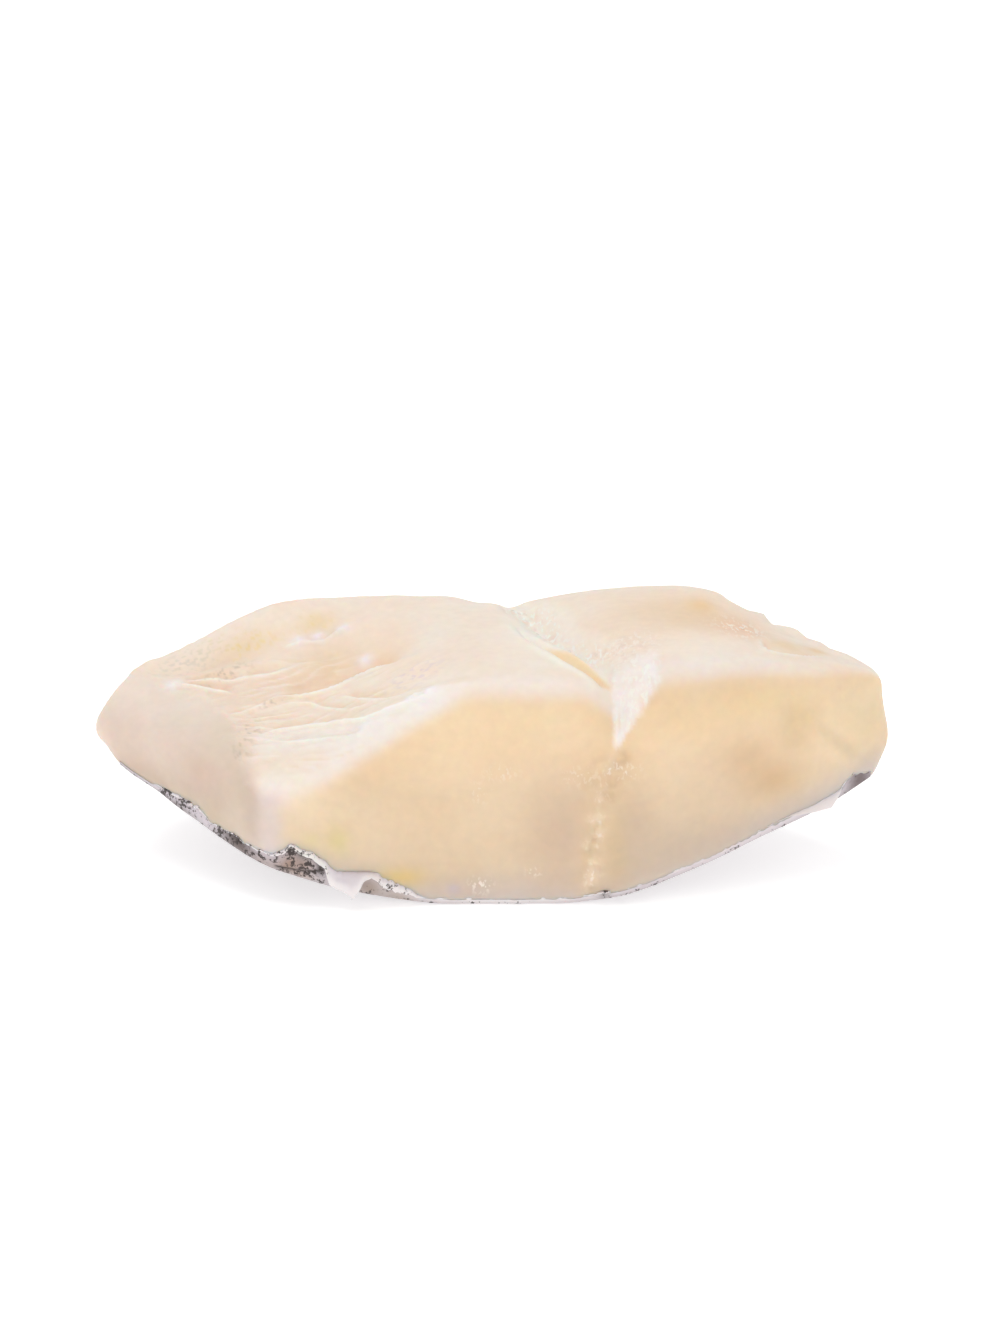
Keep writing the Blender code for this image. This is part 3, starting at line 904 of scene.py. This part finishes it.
# Front lip of the skin at x: how high it climbs, how far it bulges out on the way, how far its free edge then
# folds back down, how far that edge stands out, how much it ruffles, and how dark its outside shows
FRONT_LIP = (
    (-69, 0.3, 0, 0, 0, 0, 0), (-60.5, 0.5, 0, 0, 0.1, 0.05, 0.1), (-59.2, 1, 0.1, 0.1, 0.2, 0.2, 0.6),
    (-57.5, 1.6, 0.3, 0.3, 0.4, 0.2, 0.85), (-55.5, 2.3, 0.4, 0.4, 0.6, 0.2, 0.9),
    (-53.6, 2.7, 0.4, 0.4, 0.7, 0.2, 0.8), (-51.8, 2.9, 0.4, 0.3, 0.6, 0.2, 0.4),
    (-50.6, 2.2, 0.3, 0.2, 0.3, 0.2, 0.25), (-49.6, 1.4, 0.3, 0.2, 0.3, 0.2, 0.4),
    (-48.6, 1.7, 0.2, 0, 0.2, 0.2, 0.6), (-47.2, 2, 0.2, 0, 0.2, 0.25, 0.9),
    (-45.3, 2.3, 0.3, 0, 0.3, 0.25, 0.9), (-43, 2.1, 0.4, 0, 0.3, 0.25, 0.8),
    (-41, 2.2, 0.4, 0, 0.3, 0.25, 0.7), (-37.9, 2.9, 0.6, 0.3, 0.5, 0.25, 0.7),
    (-36.5, 4.4, 0.7, 0.6, 0.7, 0.18, 0.75), (-35.2, 6, 0.8, 0.5, 0.7, 0.08, 0.95),
    (-33.5, 5.7, 0.9, 0.8, 0.9, 0.08, 0.9), (-31, 5.3, 0.8, 0.9, 1, 0.08, 0.9),
    (-29.3, 5, 0.5, 1.2, 1, 0.1, 0.6), (-28.6, 3.8, 0.4, 3.2, 1.1, 0.05, 0.05),
    (-27.2, 3.2, 0.3, 3, 1.4, 0.05, 0), (-25.8, 3.4, 0.3, 3.3, 1.9, 0.05, 0),
    (-24.5, 3.7, 0.3, 4.4, 2.8, 0.04, 0), (-23.6, 3.9, 0.3, 3.4, 2.4, 0.04, 0),
    (-22.6, 4.1, 0.3, 1.2, 1.8, 0.03, 0), (-21.2, 4.3, 0.3, 0.5, 1.5, 0.03, 0.05),
    (-20.1, 4.4, 0.3, 1.3, 1.1, 0.05, 0.1), (-19.2, 3.8, 0.2, 1.7, 0.8, 0.12, 0.3),
    (-17, 3, 0.2, 1.5, 0.8, 0.22, 0.4), (-15, 2.2, 0.2, 1, 0.6, 0.22, 0.3),
    (-13.3, 1.1, 0.1, 0.4, 0.4, 0.2, 0.15), (-11, 0.9, 0, 0, 0.12, 0.12, 0),
    (-1, 0.9, 0, 0, 0.08, 0.12, 0), (15, 0.9, 0, 0, 0.08, 0.12, 0.05),
    (17.8, 1.1, 0.1, 0.1, 0.4, 0.25, 0.5), (19.3, 1.4, 0.2, 0.2, 0.6, 0.3, 0.6),
    (21, 1, 0, 0, 0.1, 0.15, 0.05), (30, 1.1, 0, 0, 0.1, 0.2, 0), (45, 1.2, 0, 0, 0.1, 0.2, 0),
    (52, 1.4, 0, 0.2, 0.2, 0.15, 0), (57, 1.3, 0, 1.6, 0.4, 0.1, 0),
    (59.5, 1.3, 0, 2.3, 0.5, 0.1, 0), (60.8, 1.4, 0, 1.2, 0.3, 0.1, 0),
    (61.6, 1.8, 0, 0.1, 0.2, 0.08, 0.1), (62.6, 2.9, 0.1, 0, 0.2, 0.12, 0.2),
    (64.5, 2.7, 0, 0, 0.1, 0.08, 0.2), (66.8, 1, 0, 0, 0, 0.05, 0.2),
    (68, 0.3, 0, 0, 0, 0.05, 0.2),
)
BACK_LIP = (
    (-67, 0.8, 0, 0, 0.1, 0.08, 0.3), (-45, 1.8, 0.2, 0.2, 0.4, 0.2, 0.5),
    (-30, 1.5, 0.1, 0.1, 0.3, 0.15, 0.4), (0, 1, 0, 0, 0.2, 0.12, 0.1),
    (40, 1.8, 0.1, 0.2, 0.3, 0.15, 0.3), (60, 1.2, 0, 0, 0.1, 0.1, 0.5),
    (67, 0.4, 0, 0, 0, 0.05, 0.4),
)
# Colours on the front lip: middle x, share of the way up and down, half widths of both, colour, amount
LIP_PATCHES = (
    ((-44.6, 0.25, 3, 0.3), (102, 86, 80), 0.9), ((-45, 0.55, 2.4, 0.25), (70, 57, 52), 0.9),
    ((-40, 0.2, 2.6, 0.2), (168, 150, 144), 0.7), ((-35.6, 0.25, 2.2, 0.16), (160, 130, 112), 0.9),
    ((-33, 0.33, 2, 0.1), (150, 120, 102), 0.8), ((-32.8, 0.43, 2.4, 0.04), (70, 57, 52), 0.9),
    ((-32.2, 0.85, 3.3, 0.3), (250, 244, 240), 1), ((-30, 0.36, 0.8, 0.12), (60, 50, 47), 0.95),
    ((-55.5, 0.15, 2.5, 0.12), (110, 98, 98), 0.6), ((-33.4, 0.13, 2.6, 0.07), (186, 164, 152), 0.7),
    # These two are painted shade: the skin's brown-grey under the raised flap and below the frill, darkened
    ((-21.6, 0.22, 2.5, 0.22), (158, 138, 124), 0.95), ((-16.5, 0.15, 3, 0.2), (166, 148, 136), 0.8),
    ((-26, 0.75, 2.6, 0.1), (212, 202, 208), 0.7), ((19.2, 0.4, 1.1, 0.4), (128, 120, 122), 0.9),
    ((42, 0.5, 16, 0.6), (240, 230, 233), 0.8), ((64.6, 0.3, 2.4, 0.7), (118, 103, 104), 0.97),
    ((2, 0.5, 16, 0.5), (255, 250, 248), 0.8), ((46, 0.75, 14, 0.3), (228, 208, 192), 0.6),
)
# The slit under the big fold: x, and height above the underside. It is coloured near black, a painted shadow
# in the crease
SLIT_X = (-37.5, -34.5, -32.5, -30.2)
SLIT_HEIGHT = (1.2, 1.9, 2.4, 3.0)
SLIT_DEPTH = 0.5
# Heights over the underside where the flesh's sides are found, and how far out the rays start
PROBE_HEIGHTS = (1.0, 1.3, 1.8, 2.6, 3.8, 5.5, 7.5, 10.0)
PROBE_FROM = 60
SKIN_STATIONS = 620
FRONT_ROWS, BACK_ROWS, UNDER_ROWS = 28, 12, 12
FOLD_SHARE = 0.5  # share of a lip's rows that climb; the rest fold back down
FOLD_GAP = 0.03  # keeps the rows that fold back down clear of the ones that climb
SHEET_THICKNESS, EDGE_THICKNESS = 0.4, 0.22
LIP_SUNK, TOP_SUNK = 0.04, 0.18  # how far into the flesh a lip and its top lean, so that no gap shows
FOLD_INSIDE = 0.6  # how far under the flesh a lip starts to turn up


def lip_rows(table, count, x, under, wall_y, outward):
    """Points of one lip at x, from under the flesh to its free edge: place, share of the way, dark, slit."""
    table = np.array(table)
    climb, bulge, drop, stand, ruffle, dark = (np.interp(x, table[:, 0], table[:, i]) for i in range(1, 7))
    side = 3.0 if outward < 0 else 40.0
    slow = noise.noise(Vector((x / 2.6, side, 0)))
    quick = noise.noise(Vector((x / 1.0, side + 5, 0)))
    ragged = noise.noise(Vector((x / 0.6, side + 9, 0)))
    climb *= 1 + 1.2 * ruffle * (slow + 0.8 * quick) + 0.6 * ruffle * ragged
    curl = front_curl(x) if outward < 0 else 0.0
    slit = np.interp(x, SLIT_X, SLIT_HEIGHT)
    slit_depth = SLIT_DEPTH * between(x, SLIT_X[0], SLIT_X[-1], 1.0) * (outward < 0)
    points = []
    for t in np.arange(1, count + 1) / count:
        up, down = min(1.0, t / FOLD_SHARE), max(0.0, (t - FOLD_SHARE) / (1 - FOLD_SHARE))
        height = SHEET_THICKNESS / 2 + curl + climb * up**1.3 - drop * down**1.3
        wave = ruffle * (2.2 * slow + 1.5 * quick) * t * t
        off = bulge * math.sin(math.pi * up) + stand * down**0.7 + wave
        in_slit = bump_at(height - slit, 0.30) * (t < FOLD_SHARE) * slit_depth
        sunk = LIP_SUNK + TOP_SUNK * up
        off = max(-LIP_SUNK, off) + FOLD_GAP * down - sunk - in_slit
        y = np.interp(height, PROBE_HEIGHTS, wall_y) + outward * off
        points.append((x, y, max(under + height, EDGE_THICKNESS / 2), t, dark, 2 * in_slit))
    return points


def wall_places(tree, xs, under, outward):
    """Y of the flesh's side at each x and probe height. A probe that misses takes the nearest that hits."""
    rows = []
    for x, low in zip(xs, under):
        starts = [(x, PROBE_FROM * outward, low + h) for h in PROBE_HEIGHTS]
        rows.append([hit(tree, start, (0, -outward, 0))[1] for start in starts])
    known = [i for i, row in enumerate(rows) if not np.isnan(row).all()]
    return np.array([filled(rows[min(known, key=lambda j: abs(j - i))]) for i in range(len(rows))])


def make_skin(flesh):
    tree = tree_of(flesh.data)
    xs = np.linspace(skin_low[0], skin_high[0], SKIN_STATIONS)
    under = under_heights(xs) - skin_dip(xs)
    walls = {outward: wall_places(tree, xs, under, outward) for outward in (-1, 1)}
    rows = []
    for i, x in enumerate(xs):
        base = under[i] + SHEET_THICKNESS / 2
        front = lip_rows(FRONT_LIP, FRONT_ROWS, x, under[i], walls[-1][i], -1)
        back = lip_rows(BACK_LIP, BACK_ROWS, x, under[i], walls[1][i], 1)
        start, end = walls[-1][i][0] + FOLD_INSIDE, walls[1][i][0] - FOLD_INSIDE
        inner = np.linspace(start, end, UNDER_ROWS)
        curls = front_curl(x) * smooth((start + 3 - inner) / 3)
        middle = [(x, y, base + curl, 0, front[0][4], 0) for y, curl in zip(inner, curls)]
        rows.append(front[::-1] + middle + back)
    rows = np.array(rows)
    line = rows[:, :, :3].copy()
    line[:, 1:-1, 1:] = (line[:, :-2, 1:] + 2 * line[:, 1:-1, 1:] + line[:, 2:, 1:]) / 4
    lip, dark = rows[:, :, 3], rows[:, :, 4]
    normal = np.cross(np.gradient(line, axis=0), np.gradient(line, axis=1))
    normal /= np.linalg.norm(normal, axis=2, keepdims=True)
    normal *= np.sign(normal[len(xs) // 2, FRONT_ROWS + UNDER_ROWS // 2, 2])
    half = (SHEET_THICKNESS + (EDGE_THICKNESS - SHEET_THICKNESS) * lip)[:, :, None] / 2
    upper, lower = line + normal * half, line - normal * half
    lower[:, :, 2] = np.maximum(lower[:, :, 2], 0.0)
    upper[:, :, 2] = np.maximum(upper[:, :, 2], 0.1)
    stations, width = lip.shape
    vertices = np.concatenate([upper.reshape(-1, 3), lower.reshape(-1, 3)])
    count = stations * width
    index = np.arange(count).reshape(stations, width)
    quads = np.stack([index[:-1, :-1], index[1:, :-1], index[1:, 1:], index[:-1, 1:]], axis=-1).reshape(-1, 4)
    faces = quads.tolist() + (quads[:, ::-1] + count).tolist()
    border = np.r_[index[:, 0], index[-1, 1:], index[-2::-1, -1], index[0, -2:0:-1]]
    faces += [(int(b), int(a), int(a) + count, int(b) + count) for a, b in zip(border, np.roll(border, -1))]
    mesh = mesh_from("cod_skin", vertices, faces)
    outside = np.r_[np.zeros(count), np.ones(count)]
    lip, dark, slit = (np.tile(values.ravel(), 2) for values in (lip, dark, rows[:, :, 5]))
    cloud = noise_at(vertices, 3, octaves=2, seed=30)
    colour = layered(
        all_over("silver", len(vertices)),
        silver_dark=smooth(dark * 1.4) * 0.6 * smooth(cloud + 0.6),
        skin_edge=smooth((lip - 0.55) / 0.3) * 0.8,
        skin_under=outside * (1 - smooth(lip * 3)) * 0.8,
    )
    on_front = np.tile(np.arange(width) < FRONT_ROWS, stations * 2)
    colour = with_patches(colour, LIP_PATCHES, on_front, vertices[:, 0], lip)
    # Near black in the slit: painted shadow in the crease
    set_colour(mesh, "tint", layered(colour, slit=slit))
    set_value(mesh, "dark", np.maximum(dark, 0.6 * outside * (1 - smooth(lip * 3))))
    return add_piece("cod_skin", mesh, skin_material(), "skin")


# ---------------- stage

CAMERA_ELEVATION = 20
CAMERA_DISTANCE = 800
MM_PER_PIXEL = 0.178
FRAME_WIDTH = 1000
CENTRE_HEIGHT = 20
AIM_ABOVE, AIM_RIGHT = 14.4, 1.1
# The table and the lamps are in metres and watts
FLOOR_HALF = 6.0
FLOOR_WHITE, FLOOR_GLOW, WORLD_STRENGTH = 0.86, 0.47, 0.62
LAMPS = (
    ("overhead", (-0.2, 0.1, 1.1), 0.8, 3.9),
    ("behind", (0.15, 0.9, 0.55), 0.35, 0.4),
    ("front", (-0.25, -1.0, 0.5), 0.9, 1.6),
)


def make_stage():
    corners = [(u * FLOOR_HALF, v * FLOOR_HALF, 0) for u, v in ((-1, -1), (1, -1), (1, 1), (-1, 1))]
    mesh = bpy.data.meshes.new("floor")
    mesh.from_pydata(corners, [], [(0, 1, 2, 3)])
    floor = placed("floor", mesh)
    n = Nodes("white_table")
    n.set(Base_Color=(FLOOR_WHITE,) * 3 + (1,), Roughness=0.9, Specular_IOR_Level=0.2)
    n.set(Emission_Color=(1, 1, 1, 1), Emission_Strength=FLOOR_GLOW)
    mesh.materials.append(n.material)
    world = bpy.data.worlds.new("studio")
    world.use_nodes = True
    background = world.node_tree.nodes["Background"].inputs
    background["Color"].default_value = (1, 1, 1, 1)
    background["Strength"].default_value = WORLD_STRENGTH
    bpy.context.scene.world = world
    for name, place, size, power in LAMPS:
        lamp = bpy.data.lights.new(name, "AREA")
        lamp.size = size
        lamp.energy = power
        light = placed(name, lamp)
        light.location = place
        light.rotation_euler = (-Vector(place)).to_track_quat("-Z", "Y").to_euler()


def make_camera():
    elevation = math.radians(CAMERA_ELEVATION)
    centre = Vector((0, 0, CENTRE_HEIGHT)) * MM
    camera = placed("camera", bpy.data.cameras.new("camera"))
    camera.location = centre + Vector((0, -math.cos(elevation), math.sin(elevation))) * CAMERA_DISTANCE * MM
    up = Vector((0, math.sin(elevation), math.cos(elevation)))
    target = centre + up * AIM_ABOVE * MM + Vector((AIM_RIGHT * MM, 0, 0))
    camera.rotation_euler = (target - camera.location).to_track_quat("-Z", "Y").to_euler()
    camera.data.sensor_fit = "HORIZONTAL"
    camera.data.lens = camera.data.sensor_width * CAMERA_DISTANCE / MM_PER_PIXEL / FRAME_WIDTH
    bpy.context.scene.camera = camera


bpy.context.scene.view_settings.view_transform = "Standard"
make_camera()
make_stage()
make_skin(make_flesh())
